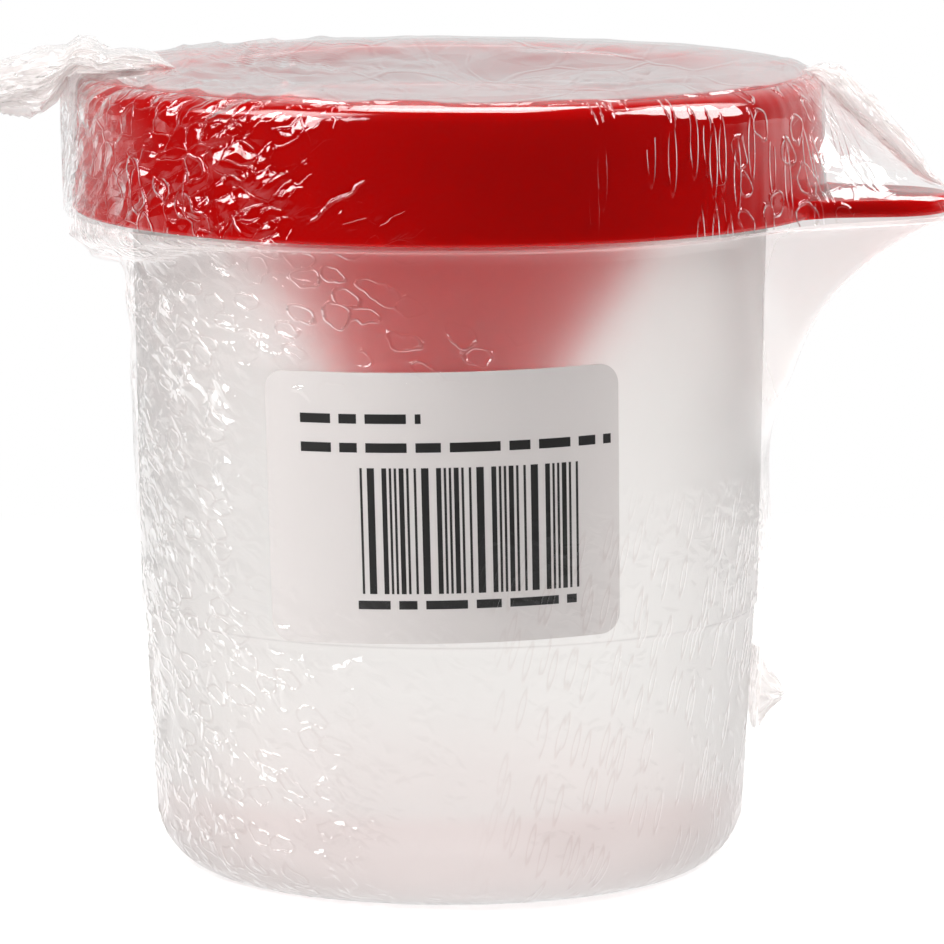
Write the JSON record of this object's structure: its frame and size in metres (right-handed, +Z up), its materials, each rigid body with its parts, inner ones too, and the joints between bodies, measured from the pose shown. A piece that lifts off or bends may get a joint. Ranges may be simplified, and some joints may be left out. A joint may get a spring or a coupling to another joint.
{
  "type": "paint cup with lid",
  "caption": "Frosted plastic paint-water cup with a folded rim, a push-fit red funnel lid with a lift tab, and a plain label.",
  "frame": {"origin": "centre of the flat base, on the surface the cup stands on", "axes": "+Z up along the cup's axis, +X along the lid's lift tab, -Y towards the label"},
  "size_m": [0.093, 0.08, 0.085],
  "materials": {
    "cup": "translucent frosted polypropylene, smooth outside",
    "lid": "glossy opaque red moulding",
    "label": "pale satin paper sticker with plain ruled print",
    "wrap": "clear crinkled shrink film, kept to the looks"
  },
  "bodies": {
    "cup_body": {"cup": "cup", "label": "label"},
    "lid_body": {"lid": "lid"}
  },
  "joints": [
    {"name": "lid_lift", "type": "slide", "parent": "cup_body", "child": "lid_body", "axis": [0, 0, 1], "range_m": [0, 0.045]}
  ]
}
